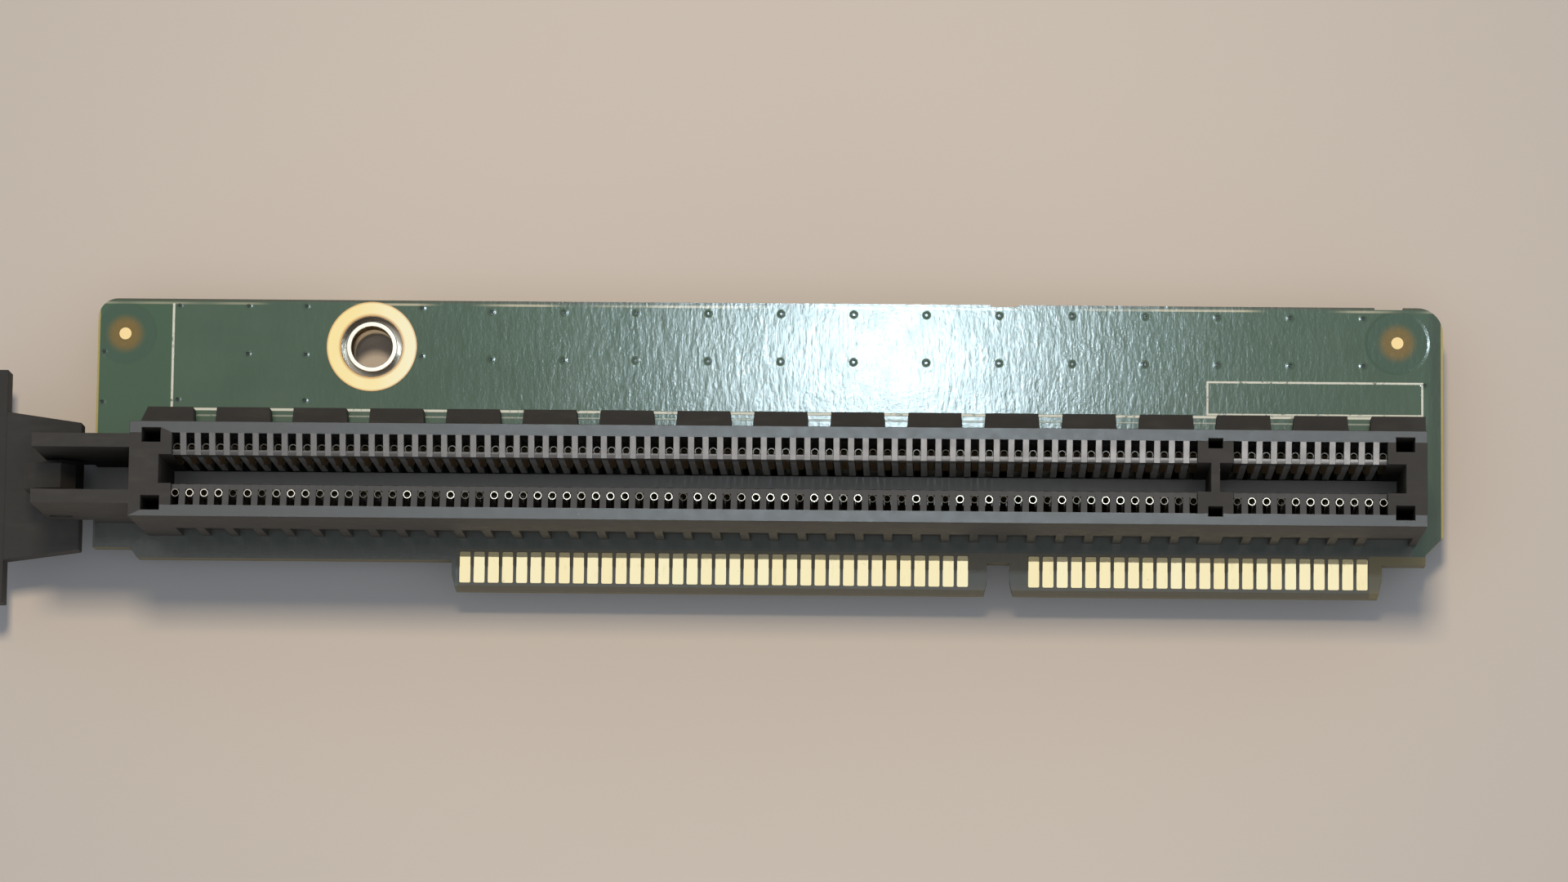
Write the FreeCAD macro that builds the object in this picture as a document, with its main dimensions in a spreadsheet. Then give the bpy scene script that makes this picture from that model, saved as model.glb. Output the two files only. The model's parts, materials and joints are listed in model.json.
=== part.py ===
"""PCI Express riser card: a full-length slot with a hinged retention latch on a short edge card.

Frame: +X runs along the card, away from the latch; +Y runs from the tongue's tip to the back edge;
+Z points out of the slot.  The origin is on the tongue's tip, in the middle of its key notch and
half way through the board.  All sizes are in millimetres.
"""
import FreeCAD, Part
import math
import os
import Sketcher

SIZES = {
    # board outline, from the middle of the key notch and from the tongue's tip
    "board_thickness": 1.6,
    "board_left": 63.85,
    "board_right": 31.2,
    "board_depth": 20.62,
    "corner_left_radius": 1.4,
    "corner_right_radius": 1.8,
    "tongue_left": 38.45,
    "tongue_right": 26.9,
    "tongue_side_slant": 0.3,
    "tongue_side_slant_rise": 1.2,
    "tongue_bevel": 0.35,
    "shoulder_left_rise": 2.15,
    "shoulder_right_rise": 2.36,
    "left_step_rise": 2.86,
    "left_step_place": 60.7,
    "left_step_slope": 0.5,
    "right_ear": 29.95,
    "right_ear_rise": 3.1,
    "tab_scar_depth": 0.15,
    "tab_scar_width": 2.0,
    "tab_scar_spacing": 27.1,
    "tab_scar_place": 0.3,
    # key notch of the tongue
    "key_notch_width": 1.58,
    "key_notch_mouth": 2.05,
    "key_notch_depth": 2.28,
    "key_notch_flare": 1.0,
    # gold edge fingers
    "finger_pitch": 1.0,
    "finger_width": 0.78,
    "finger_length": 2.2,
    "finger_inset": 0.56,
    "finger_thickness": 0.05,
    "finger_key_distance": 2.5,
    "fingers_left": 36,
    "fingers_right": 24,
    # fixing hole, its pads and the standoff in it
    "fixing_place": 44.4,
    "fixing_rise": 17.3,
    "fixing_hole_diameter": 4.4,
    "pad_diameter": 6.4,
    "pad_thickness": 0.05,
    "standoff_pilot_diameter": 3.6,
    "standoff_foot_diameter": 5.6,
    "standoff_bore_diameter": 2.9,
    "standoff_recess": 0.05,
    "underside_standing_height": 2.6,
    # fiducial dots
    "fiducial_diameter": 0.85,
    "fiducial_left": 61.9,
    "fiducial_right": 28.0,
    "fiducial_rise": 18.1,
    # slot housing
    "slot_rise": 7.0,
    "slot_key_place": 14.76,
    "housing_left": 59.95,
    "housing_right": 29.25,
    "housing_width": 6.6,
    "housing_height": 11.25,
    "slot_left": 57.9,
    "slot_right": 27.8,
    "slot_width": 2.0,
    "slot_depth": 8.9,
    "slot_key_width": 0.6,
    "flange_reach": 5.65,
    "flange_overhang": 0.6,
    "flange_height": 1.75,
    "flange_corner_length": 1.3,
    "notch_count": 16,
    "notch_pitch": 5.41,
    "notch_inner_width": 1.3,
    "notch_outer_width": 1.7,
    "pocket_length": 1.3,
    "pocket_width": 1.0,
    "pocket_depth": 6.0,
    "pocket_offset": 2.35,
    "pocket_end_gap": 0.85,
    "key_pocket_length": 1.0,
    "key_pocket_width": 0.7,
    "window_width": 1.4,
    "window_height": 4.6,
    "window_depth": 0.45,
    "end_window_length": 2.0,
    "end_window_margin": 0.5,
    "peg_diameter": 2.3,
    "peg_hole_clearance": 0.1,
    "peg_end_place": 58.75,
    # contacts and the cells that hold them
    "contact_pitch": 1.0,
    "contacts_left": 71,
    "contacts_right": 11,
    "contact_key_distance": 1.5,
    "contact_width": 0.4,
    "contact_thickness": 0.25,
    "contact_tail_outer": 2.3,
    "contact_tail_inner": 1.25,
    "contact_shank_offset": 2.3,
    "contact_knee_height": 4.4,
    "contact_touch_offset": 0.8,
    "contact_touch_height": 8.3,
    "contact_tip_offset": 1.62,
    "contact_tip_height": 10.6,
    "cell_clearance": 0.075,
    "cell_back_offset": 2.5,
    "cell_foot_height": 2.8,
    "solder_width": 0.9,
    "solder_height": 1.6,
    # arms that carry the latch, and the latch itself, shown swung open
    "arm_end": 66.7,
    "arm_inner_offset": 1.47,
    "arm_outer_offset": 2.43,
    "arm_underside_height": 1.6,
    "arm_board_gap": 0.25,
    "pivot_place": 65.6,
    "pivot_height": 3.6,
    "pivot_pin_diameter": 1.6,
    "pivot_clearance": 0.05,
    "pivot_pin_inset": 0.1,
    "pivot_boss_diameter": 3.0,
    "pivot_side_clearance": 0.1,
    "latch_web_width": 1.8,
    "latch_web_outer": 67.9,
    "latch_web_inner": 65.2,
    "latch_hook_top": 7.2,
    "latch_hook_slope": 0.9,
    "latch_hook_nose": 0.9,
    "latch_hook_depth": 2.2,
    "latch_plate_top": 1.35,
    "latch_plate_thickness": 1.85,
    "latch_plate_inner": 64.65,
    "latch_plate_outer": 69.95,
    "latch_plate_inner_half": 4.5,
    "latch_plate_outer_half": 5.25,
    "latch_grip_length": 2.0,
    "latch_grip_half": 8.25,
    "latch_grip_top": 1.25,
    "latch_grip_thickness": 2.2,
    "latch_grip_rounding": 0.6,
}

doc = FreeCAD.newDocument("riser_card")
sheet = doc.addObject("Spreadsheet::Sheet", "sizes")
for row, (alias, number) in enumerate(SIZES.items(), start=1):
    sheet.set(f"A{row}", alias)
    sheet.set(f"B{row}", str(number))
    sheet.setAlias(f"B{row}", alias)
doc.recompute()


class Length:
    """A length and the spreadsheet formula that gives it."""

    def __init__(self, number, formula):
        self.number = number
        self.formula = formula

    @staticmethod
    def of(other):
        return other if isinstance(other, Length) else Length(other, repr(other))

    def joined(self, sign, other, number):
        return Length(number, f"({self.formula} {sign} {other.formula})")

    def __add__(self, other):
        other = Length.of(other)
        return self.joined("+", other, self.number + other.number)

    def __sub__(self, other):
        other = Length.of(other)
        return self.joined("-", other, self.number - other.number)

    def __mul__(self, other):
        other = Length.of(other)
        return self.joined("*", other, self.number * other.number)

    def __truediv__(self, other):
        other = Length.of(other)
        return self.joined("/", other, self.number / other.number)

    def __neg__(self):
        return Length(-self.number, f"(-1 * {self.formula})")

    def root(self):
        return Length(math.sqrt(self.number), f"sqrt({self.formula})")

    __radd__ = __add__
    __rmul__ = __mul__


def size(alias):
    return Length(float(sheet.get(alias)), f"sizes.{alias}")


def bind(obj, path, length):
    obj.setExpression(path, Length.of(length).formula)


# ---- places that several pieces share --------------------------------------------------------

ZERO = Length(0.0, "0")
TOP = size("board_thickness") / 2
UNDERSIDE = -TOP
STANDING = UNDERSIDE - size("underside_standing_height")
SLOT_Y = size("slot_rise")
KEY_X = size("slot_key_place")
HOUSING_HALF = size("housing_width") / 2
SLOT_HALF = size("slot_width") / 2
HOUSING_TOP = TOP + size("housing_height")
CELL_WIDTH = size("contact_width") + size("cell_clearance") * 2
FIXING_X = -size("fixing_place")
FIXING_Y = size("fixing_rise")
PIVOT_X = -size("pivot_place")
PIVOT_Z = TOP + size("pivot_height")
PEG_PLACES = (KEY_X, -size("peg_end_place"))


# ---- ways of making features -----------------------------------------------------------------

nodes = []


def new_body(label, is_node=True):
    """A body; one that is no node of its own is material or a cutter for another."""
    body = doc.addObject("PartDesign::Body", label)
    body.Label = label
    body.AllowCompound = True
    if is_node:
        nodes.append(body)
    return body


def cut_away(label, blank, cutters):
    """The node that is left when the cutters' rows of blocks are taken out of the blank."""
    cut = doc.addObject("Part::Cut", label)
    cut.Label = label
    cut.Base = blank
    cut.Tool = cutters
    nodes.append(cut)
    doc.recompute()


def origin_part(body, role):
    return next(item for item in body.Origin.OriginFeatures if item.Role == role)


def new_sketch(body, role, offset=ZERO):
    """An empty sketch on one of the body's own planes, moved along its normal by offset."""
    sketch = body.newObject("Sketcher::SketchObject", "outline")
    sketch.AttachmentSupport = [(origin_part(body, role), "")]
    sketch.MapMode = "FlatFace"
    bind(sketch, "AttachmentOffset.Base.z", offset)
    return sketch


def fix_point(sketch, geometry, which, across, up):
    for kind, length in (("DistanceX", across), ("DistanceY", up)):
        index = sketch.addConstraint(Sketcher.Constraint(kind, -1, 1, geometry, which, length.number))
        bind(sketch, f"Constraints[{index}]", length)


def draw_outline(sketch, points, arcs=None):
    """A closed outline through the points.

    arcs gives, for the number of the side that it bends, the arc's radius and its middle point.
    """
    arcs = arcs or {}
    corners = [tuple(Length.of(value) for value in point) for point in points]
    start = sketch.GeometryCount
    for side, (here, there) in enumerate(zip(corners, corners[1:] + corners[:1])):
        first = FreeCAD.Vector(here[0].number, here[1].number, 0)
        last = FreeCAD.Vector(there[0].number, there[1].number, 0)
        if side in arcs:
            middle = FreeCAD.Vector(*arcs[side][1], 0)
            curve = Part.Arc(first, middle, last)
        else:
            curve = Part.LineSegment(first, last)
        sketch.addGeometry(curve)
    for side, corner in enumerate(corners):
        here = start + side
        before = start + (side - 1) % len(corners)
        place = FreeCAD.Vector(corner[0].number, corner[1].number, 0)
        here_end = 1 if sketch.getPoint(here, 1).distanceToPoint(place) < 1e-6 else 2
        before_end = 2 if sketch.getPoint(before, 2).distanceToPoint(place) < 1e-6 else 1
        sketch.addConstraint(Sketcher.Constraint("Coincident", before, before_end, here, here_end))
        fix_point(sketch, here, here_end, *corner)
    for side, (radius, _) in arcs.items():
        index = sketch.addConstraint(Sketcher.Constraint("Radius", start + side, radius.number))
        bind(sketch, f"Constraints[{index}]", radius)


def draw_box(sketch, left, right, low, high):
    draw_outline(sketch, [(left, low), (right, low), (right, high), (left, high)])


def draw_circle(sketch, across, up, diameter):
    across, up = Length.of(across), Length.of(up)
    centre = FreeCAD.Vector(across.number, up.number, 0)
    circle = sketch.addGeometry(Part.Circle(centre, FreeCAD.Vector(0, 0, 1), diameter.number / 2))
    fix_point(sketch, circle, 3, across, up)
    index = sketch.addConstraint(Sketcher.Constraint("Diameter", circle, diameter.number))
    bind(sketch, f"Constraints[{index}]", diameter)


def pad(body, sketch, length):
    """Material from the sketch along its normal."""
    feature = body.newObject("PartDesign::Pad", "pad")
    feature.Profile = sketch
    bind(feature, "Length", length)
    doc.recompute()
    return feature


def pocket(body, sketch, length):
    """A cut from the sketch along its normal."""
    before = body.Shape.Volume
    feature = body.newObject("PartDesign::Pocket", "pocket")
    feature.Profile = sketch
    feature.Reversed = True
    bind(feature, "Length", length)
    doc.recompute()
    if not feature.Shape.Volume < before:
        raise RuntimeError(f"a pocket of {body.Label} cuts nothing")
    return feature


def repeat(body, feature, spacing, count, backwards=False):
    """Copies of the feature along X."""
    pattern = body.newObject("PartDesign::LinearPattern", "row")
    pattern.Originals = [feature]
    pattern.Direction = (origin_part(body, "X_Axis"), [""])
    pattern.Mode = "Spacing"
    pattern.Reversed = backwards
    bind(pattern, "Offset", spacing)
    bind(pattern, "Occurrences", count)
    body.Tip = pattern
    doc.recompute()
    return pattern


def edges_at(shape, test):
    """Names of the edges whose middle passes the test."""
    names = []
    for number, edge in enumerate(shape.Edges, start=1):
        middle = edge.valueAt((edge.FirstParameter + edge.LastParameter) / 2)
        if test(middle):
            names.append(f"Edge{number}")
    return names


def near(value, length):
    return abs(value - length.number) < 1e-3


def round_or_bevel(body, kind, sized, length, test):
    """A fillet or chamfer on the edges of the body's tip that pass the test."""
    base = body.Tip
    feature = body.newObject(f"PartDesign::{kind}", kind.lower())
    feature.Base = (base, edges_at(base.Shape, test))
    bind(feature, sized, length)
    body.Tip = feature
    doc.recompute()
    return feature


# ---- rows of contacts ------------------------------------------------------------------------

def contact_rows():
    """Name, first place, count and direction of each run of contacts, outer and inner tails.

    Counted from the key, every second contact has its tail in the outer row of holes.
    """
    pitch = size("contact_pitch")
    rows = []
    for run, count, way in (("short", size("contacts_right"), 1), ("long", size("contacts_left"), -1)):
        first = KEY_X + size("contact_key_distance") * way
        outer = Length(math.floor((count.number + 1) / 2), f"floor(({count.formula} + 1) / 2)")
        inner = Length(math.floor(count.number / 2), f"floor({count.formula} / 2)")
        rows.append((run, "outer", first, outer, way))
        rows.append((run, "inner", first + pitch * way, inner, way))
    return rows


def tail_offset(row):
    return size(f"contact_tail_{row}")


# ---- the board and what is plated on it ------------------------------------------------------

def make_board():
    body = new_body("circuit_board")
    key_half = size("key_notch_width") / 2
    mouth_half = size("key_notch_mouth") / 2
    slant = size("tongue_side_slant")
    left_step = size("left_step_place")
    sketch = new_sketch(body, "XY_Plane", UNDERSIDE)
    draw_outline(sketch, [
        (-(size("tongue_left") - slant), ZERO),
        (-mouth_half, ZERO),
        (-key_half, size("key_notch_flare")),
        (-key_half, size("key_notch_depth")),
        (key_half, size("key_notch_depth")),
        (key_half, size("key_notch_flare")),
        (mouth_half, ZERO),
        (size("tongue_right") - slant, ZERO),
        (size("tongue_right"), size("tongue_side_slant_rise")),
        (size("tongue_right"), size("shoulder_right_rise")),
        (size("right_ear"), size("shoulder_right_rise")),
        (size("right_ear"), size("right_ear_rise")),
        (size("board_right"), size("right_ear_rise") + size("board_right") - size("right_ear")),
        (size("board_right"), size("board_depth")),
        (-size("board_left"), size("board_depth")),
        (-size("board_left"), size("left_step_rise")),
        (-(left_step + size("left_step_slope")), size("left_step_rise")),
        (-left_step, size("shoulder_left_rise")),
        (-size("tongue_left"), size("shoulder_left_rise")),
        (-size("tongue_left"), size("tongue_side_slant_rise")),
    ])
    pad(body, sketch, size("board_thickness"))
    for side, radius in ((-size("board_left"), "corner_left_radius"),
                         (size("board_right"), "corner_right_radius")):
        round_or_bevel(body, "Fillet", "Radius", size(radius),
                       lambda p: near(p.x, side) and near(p.y, size("board_depth")))
    round_or_bevel(body, "Chamfer", "Size", size("tongue_bevel"),
                   lambda p: near(p.y, ZERO) and not near(p.z, ZERO))

    through = size("board_thickness")
    sketch = new_sketch(body, "XY_Plane", UNDERSIDE)
    scar = size("tab_scar_place")
    half = size("tab_scar_width") / 2
    for place in (scar, scar + size("tab_scar_spacing")):
        draw_box(sketch, place - half, place + half,
                 size("board_depth") - size("tab_scar_depth"), size("board_depth") + size("tab_scar_depth"))
    draw_circle(sketch, FIXING_X, FIXING_Y, size("fixing_hole_diameter"))
    for place in PEG_PLACES:
        draw_circle(sketch, place, SLOT_Y, size("peg_diameter") + size("peg_hole_clearance") * 2)
    pocket(body, sketch, through)


def make_fingers():
    """Gold plates side by side along the tongue, on both faces."""
    half = size("finger_width") / 2
    low = size("finger_inset")
    for face, level in (("top", TOP), ("bottom", UNDERSIDE - size("finger_thickness"))):
        for group, way in (("left", -1), ("right", 1)):
            body = new_body(f"edge_fingers_{face}_{group}")
            first = size("finger_key_distance") * way
            sketch = new_sketch(body, "XY_Plane", level)
            draw_box(sketch, first - half, first + half, low, low + size("finger_length"))
            plate = pad(body, sketch, size("finger_thickness"))
            repeat(body, plate, size("finger_pitch"), size(f"fingers_{group}"), backwards=way < 0)


def make_fixing_pads():
    """A plated ring round the fixing hole on each face."""
    thickness = size("pad_thickness")
    for name, level in (("mount_pad_top", TOP), ("mount_pad_bottom", UNDERSIDE - thickness)):
        body = new_body(name)
        sketch = new_sketch(body, "XY_Plane", level)
        draw_circle(sketch, FIXING_X, FIXING_Y, size("pad_diameter"))
        pad(body, sketch, thickness)
        sketch = new_sketch(body, "XY_Plane", level)
        draw_circle(sketch, FIXING_X, FIXING_Y, size("fixing_hole_diameter"))
        pocket(body, sketch, thickness)


def make_fiducials():
    for name, place in (("fiducial_left", -size("fiducial_left")),
                        ("fiducial_right", size("fiducial_right"))):
        body = new_body(name)
        sketch = new_sketch(body, "XY_Plane", TOP)
        draw_circle(sketch, place, size("fiducial_rise"), size("fiducial_diameter"))
        pad(body, sketch, size("pad_thickness"))


def make_standoff():
    """A turned steel standoff: its pilot stands in the fixing hole, its foot against the underside."""
    body = new_body("mounting_standoff")
    bore = size("standoff_bore_diameter") / 2
    pilot = size("standoff_pilot_diameter") / 2
    foot = size("standoff_foot_diameter") / 2
    seat = UNDERSIDE - size("pad_thickness")
    sketch = new_sketch(body, "XZ_Plane", -FIXING_Y)
    draw_outline(sketch, [
        (FIXING_X + bore, STANDING),
        (FIXING_X + foot, STANDING),
        (FIXING_X + foot, seat),
        (FIXING_X + pilot, seat),
        (FIXING_X + pilot, TOP - size("standoff_recess")),
        (FIXING_X + bore, TOP - size("standoff_recess")),
    ])
    axis = sketch.addGeometry(Part.LineSegment(
        FreeCAD.Vector(FIXING_X.number, STANDING.number, 0),
        FreeCAD.Vector(FIXING_X.number, TOP.number, 0)), True)
    fix_point(sketch, axis, 1, FIXING_X, STANDING)
    fix_point(sketch, axis, 2, FIXING_X, TOP)
    turned = body.newObject("PartDesign::Revolution", "turned")
    turned.Profile = sketch
    turned.ReferenceAxis = (sketch, ["Axis0"])
    turned.Angle = 360
    doc.recompute()


# ---- the slot --------------------------------------------------------------------------------

def make_housing():
    """One black moulding: walls, key bar, toothed flange, window recesses, pegs and the latch's two arms."""
    body = new_body("housing_blank", is_node=False)
    left, right = -size("housing_left"), size("housing_right")
    front, back = SLOT_Y - HOUSING_HALF, SLOT_Y + HOUSING_HALF

    sketch = new_sketch(body, "XY_Plane", TOP)
    draw_box(sketch, left, right, front, back)
    pad(body, sketch, size("housing_height"))

    flange_back = SLOT_Y + size("flange_reach")
    overhang = size("flange_overhang")
    sketch = new_sketch(body, "XY_Plane", TOP)
    draw_outline(sketch, [
        (left - overhang, SLOT_Y + SLOT_HALF),
        (right + overhang, SLOT_Y + SLOT_HALF),
        (right + overhang, flange_back),
        (left, flange_back),
        (left - overhang, flange_back - size("flange_corner_length")),
    ])
    pad(body, sketch, size("flange_height"))

    make_arms(body, left)

    for place in PEG_PLACES:
        sketch = new_sketch(body, "XY_Plane", STANDING)
        draw_circle(sketch, place, SLOT_Y, size("peg_diameter"))
        pad(body, sketch, TOP - STANDING)

    first_notch = (left + right) / 2 - size("notch_pitch") * (size("notch_count") - 1) / 2
    sketch = new_sketch(body, "XY_Plane", TOP)
    draw_outline(sketch, [
        (first_notch - size("notch_inner_width") / 2, back),
        (first_notch + size("notch_inner_width") / 2, back),
        (first_notch + size("notch_outer_width") / 2, flange_back),
        (first_notch - size("notch_outer_width") / 2, flange_back),
    ])
    notch = pocket(body, sketch, size("flange_height"))
    repeat(body, notch, size("notch_pitch"), size("notch_count"))

    sketch = new_sketch(body, "XY_Plane", HOUSING_TOP - size("slot_depth"))
    bar_half = size("slot_key_width") / 2
    draw_box(sketch, -size("slot_left"), KEY_X - bar_half, SLOT_Y - SLOT_HALF, SLOT_Y + SLOT_HALF)
    draw_box(sketch, KEY_X + bar_half, size("slot_right"), SLOT_Y - SLOT_HALF, SLOT_Y + SLOT_HALF)
    pocket(body, sketch, size("slot_depth"))

    sketch = new_sketch(body, "XY_Plane", HOUSING_TOP - size("pocket_depth"))
    half_length, half_width = size("pocket_length") / 2, size("pocket_width") / 2
    end_reach = size("pocket_end_gap") + half_length
    key_half_length, key_half_width = size("key_pocket_length") / 2, size("key_pocket_width") / 2
    for place, along, across in ((left + end_reach, half_length, half_width),
                                 (right - end_reach, half_length, half_width),
                                 (KEY_X, key_half_length, key_half_width)):
        for side in (-1, 1):
            middle = SLOT_Y + size("pocket_offset") * side
            draw_box(sketch, place - along, place + along, middle - across, middle + across)
    pocket(body, sketch, size("pocket_depth"))

    sketch = new_sketch(body, "XZ_Plane", -(front + size("window_depth")))
    near_end = right - size("end_window_margin")
    draw_box(sketch, near_end - size("end_window_length"), near_end, TOP, TOP + size("window_height"))
    pocket(body, sketch, size("window_depth"))

    cutters = new_body("cell_cutters", is_node=False)
    make_cell_cutters(cutters)
    make_window_cutters(cutters, front)
    cut_away("slot_housing", body, cutters)


def make_arms(body, housing_end):
    """Two flat arms past the slot's end, bored for the latch's pivot pins."""
    end = -size("arm_end")
    underside = TOP + size("arm_underside_height")
    board_end = -size("board_left") + size("arm_board_gap")
    corner_radius = PIVOT_Z - underside
    reach = PIVOT_X - end
    corner_height = PIVOT_Z - (corner_radius * corner_radius - reach * reach).root()
    middle_angle = math.radians(-90) - math.asin(reach.number / corner_radius.number) / 2
    middle = (PIVOT_X.number + corner_radius.number * math.cos(middle_angle),
              PIVOT_Z.number + corner_radius.number * math.sin(middle_angle))
    thickness = size("arm_outer_offset") - size("arm_inner_offset")
    bore = size("pivot_pin_diameter") + size("pivot_clearance") * 2
    for back_face in (SLOT_Y - size("arm_inner_offset"), SLOT_Y + size("arm_outer_offset")):
        sketch = new_sketch(body, "XZ_Plane", -back_face)
        draw_outline(sketch, [
            (housing_end, TOP),
            (housing_end, HOUSING_TOP),
            (end, HOUSING_TOP),
            (end, corner_height),
            (PIVOT_X, underside),
            (board_end, underside),
            (board_end, TOP),
        ], arcs={3: (corner_radius, middle)})
        draw_circle(sketch, PIVOT_X, PIVOT_Z, bore)
        pad(body, sketch, thickness)


def make_cell_cutters(body):
    """A cell for each contact, open to the slot above and to a trough over the board below."""
    half = CELL_WIDTH / 2
    for count, way in ((size("contacts_right"), 1), (size("contacts_left"), -1)):
        first = KEY_X + size("contact_key_distance") * way
        last = first + size("contact_pitch") * (count - 1) * way
        start, end = (first - half, last + half) if way > 0 else (last - half, first + half)
        sketch = new_sketch(body, "XY_Plane", TOP)
        draw_box(sketch, start, end, SLOT_Y - size("cell_back_offset"), SLOT_Y - SLOT_HALF)
        draw_box(sketch, start, end, SLOT_Y + SLOT_HALF, SLOT_Y + size("cell_back_offset"))
        pad(body, sketch, size("cell_foot_height"))
        sketch = new_sketch(body, "XY_Plane", TOP)
        draw_box(sketch, first - half, first + half,
                 SLOT_Y - size("cell_back_offset"), SLOT_Y - SLOT_HALF)
        draw_box(sketch, first - half, first + half,
                 SLOT_Y + SLOT_HALF, SLOT_Y + size("cell_back_offset"))
        cells = pad(body, sketch, size("housing_height"))
        repeat(body, cells, size("contact_pitch"), count, backwards=way < 0)


def make_window_cutters(body, front):
    """Recesses at the foot of the front wall, one for each tail in the outer row."""
    half = size("window_width") / 2
    depth = size("window_depth")
    for _, row, first, count, way in contact_rows():
        if row == "outer":
            sketch = new_sketch(body, "XZ_Plane", -(front + depth))
            draw_box(sketch, first - half, first + half, TOP, TOP + size("window_height"))
            window = pad(body, sketch, depth)
            repeat(body, window, size("contact_pitch") * 2, count, backwards=way < 0)


def strip_profile(line, thickness):
    """Outline of a bent strip about its centre line, ending in a point at the line's far end."""
    half = thickness / 2
    near_side = [(across - half, up) for across, up in line[:-1]]
    far_side = [(across + half, up) for across, up in reversed(line[:-1])]
    return near_side + [line[-1]] + far_side


def make_contacts():
    """Spring contacts: foot on the board, knee at the cell's back, tip beside the slot."""
    touch = (size("contact_touch_offset"), TOP + size("contact_touch_height"))
    tip = (size("contact_tip_offset"), TOP + size("contact_tip_height"))
    knee = (size("contact_shank_offset"), TOP + size("contact_knee_height"))
    for side_name, side in (("front", -1), ("back", 1)):
        for run, row, first, count, way in contact_rows():
            body = new_body(f"contacts_{side_name}_{run}_{row}")
            bends = ((tail_offset(row), TOP), knee, touch, tip)
            line = [(SLOT_Y + across * side, up) for across, up in bends]
            sketch = new_sketch(body, "YZ_Plane", first - size("contact_width") / 2)
            draw_outline(sketch, strip_profile(line, size("contact_thickness")))
            contact = pad(body, sketch, size("contact_width"))
            repeat(body, contact, size("contact_pitch") * 2, count, backwards=way < 0)


def make_solder_joints():
    """Under the board each tail ends in a pointed solder joint, staggered as the tails are."""
    half = size("solder_width") / 2
    for side_name, side in (("front", -1), ("back", 1)):
        body = new_body(f"solder_joints_{side_name}")
        for _, row, first, count, way in contact_rows():
            joint = body.newObject("PartDesign::AdditiveWedge", "joint")
            joint.AttachmentSupport = [(origin_part(body, "XZ_Plane"), "")]
            joint.MapMode = "FlatFace"
            joint.AttachmentOffset = FreeCAD.Placement(
                FreeCAD.Vector(0, 0, 0), FreeCAD.Rotation(FreeCAD.Vector(1, 0, 0), 180))
            for corner, length in (("Xmin", -half), ("Xmax", half), ("Zmin", -half), ("Zmax", half),
                                   ("X2min", ZERO), ("X2max", ZERO), ("Z2min", ZERO), ("Z2max", ZERO),
                                   ("Ymin", ZERO), ("Ymax", size("solder_height"))):
                bind(joint, corner, length)
            bind(joint, "AttachmentOffset.Base.x", first)
            bind(joint, "AttachmentOffset.Base.y", UNDERSIDE)
            bind(joint, "AttachmentOffset.Base.z", -(SLOT_Y + tail_offset(row) * side))
            doc.recompute()
            repeat(body, joint, size("contact_pitch") * 2, count, backwards=way < 0)


# ---- the latch -------------------------------------------------------------------------------

def make_latch():
    """One moulding: hook, web between the arms, pivot pins, foot plate and thumb grip."""
    body = new_body("retention_latch")
    web_half = size("latch_web_width") / 2
    plate_top = TOP + size("latch_plate_top")
    plate_low = plate_top - size("latch_plate_thickness")
    hook_top = TOP + size("latch_hook_top")
    outer, inner = -size("latch_web_outer"), -size("latch_web_inner")
    slope = size("latch_hook_slope")

    sketch = new_sketch(body, "XZ_Plane", -(SLOT_Y + web_half))
    draw_outline(sketch, [
        (outer, plate_low),
        (outer, hook_top - slope),
        (outer + slope, hook_top),
        (inner, hook_top),
        (inner + size("latch_hook_nose"), hook_top - size("latch_hook_depth") + slope),
        (inner, hook_top - size("latch_hook_depth")),
        (inner, plate_top),
        (-size("latch_plate_inner"), plate_low),
    ])
    pad(body, sketch, size("latch_web_width"))

    sketch = new_sketch(body, "XY_Plane", plate_low)
    draw_outline(sketch, [
        (-size("latch_plate_inner"), SLOT_Y - size("latch_plate_inner_half")),
        (-size("latch_plate_inner"), SLOT_Y + size("latch_plate_inner_half")),
        (-size("latch_plate_outer"), SLOT_Y + size("latch_plate_outer_half")),
        (-size("latch_plate_outer"), SLOT_Y - size("latch_plate_outer_half")),
    ])
    pad(body, sketch, size("latch_plate_thickness"))

    grip_top = TOP + size("latch_grip_top")
    grip_end = -size("latch_plate_outer") - size("latch_grip_length")
    sketch = new_sketch(body, "XY_Plane", grip_top - size("latch_grip_thickness"))
    draw_box(sketch, grip_end, -size("latch_plate_outer"),
             SLOT_Y - size("latch_grip_half"), SLOT_Y + size("latch_grip_half"))
    pad(body, sketch, size("latch_grip_thickness"))
    round_or_bevel(body, "Fillet", "Radius", size("latch_grip_rounding"),
                   lambda p: near(p.x, grip_end))

    boss_half = size("arm_inner_offset") - size("pivot_side_clearance")
    pin_half = size("arm_outer_offset") - size("pivot_pin_inset")
    for half, diameter in ((boss_half, size("pivot_boss_diameter")), (pin_half, size("pivot_pin_diameter"))):
        sketch = new_sketch(body, "XZ_Plane", -(SLOT_Y + half))
        draw_circle(sketch, PIVOT_X, PIVOT_Z, diameter)
        pad(body, sketch, half * 2)


make_board()
make_fingers()
make_fixing_pads()
make_fiducials()
make_standoff()
make_housing()
make_contacts()
make_solder_joints()
make_latch()

doc.recompute()
for obj in doc.Objects:
    if "Invalid" in obj.State or "Error" in obj.State:
        raise RuntimeError(f"{obj.Label} did not build")

for node in nodes:
    if node.Shape.isNull() or not node.Shape.isValid():
        raise RuntimeError(f"{node.Label} has no sound shape")

os.makedirs("parts", exist_ok=True)
for node in nodes:
    node.Shape.exportStep(f"parts/{node.Label}.step")
    print(f"{node.Label:32s} {len(node.Shape.Solids):4d} solids {node.Shape.Volume:10.3f} mm3")
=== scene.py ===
import json
import math

import bmesh
import bpy
from mathutils import Matrix, Vector


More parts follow.
